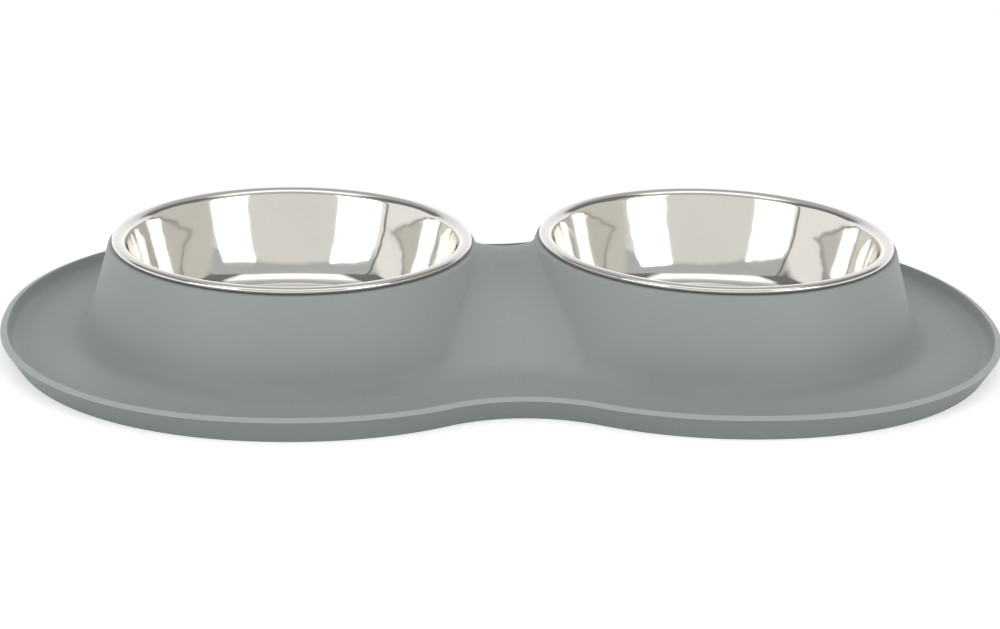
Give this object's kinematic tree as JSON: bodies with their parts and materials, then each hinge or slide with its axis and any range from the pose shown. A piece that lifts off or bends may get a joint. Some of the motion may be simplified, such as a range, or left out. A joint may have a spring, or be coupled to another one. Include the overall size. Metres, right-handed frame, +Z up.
{
  "type": "double pet bowl",
  "caption": "Low soft stand with raised round collars and a lipped spill tray, holding removable metal feeding bowls.",
  "frame": {"origin": "centre of the stand's base, on the surface that it stands on", "axes": "+X along the row of bowls towards the right bowl, +Y to the back, +Z up"},
  "size_m": [0.3934, 0.2348, 0.0414],
  "materials": {
    "silicone": "matt, slightly satin moulded silicone",
    "polished_steel": "mirror polished stainless steel"
  },
  "bodies": {
    "stand": {"silicone_stand": "silicone"},
    "left_bowl": {"left_bowl": "polished_steel"},
    "right_bowl": {"right_bowl": "polished_steel"}
  },
  "joints": [
    {"name": "left_bowl_lift", "type": "slide", "parent": "stand", "child": "left_bowl", "axis": [0, 0, 1], "range_m": [0, 0.06]},
    {"name": "right_bowl_lift", "type": "slide", "parent": "stand", "child": "right_bowl", "axis": [0, 0, 1], "range_m": [0, 0.06]}
  ]
}
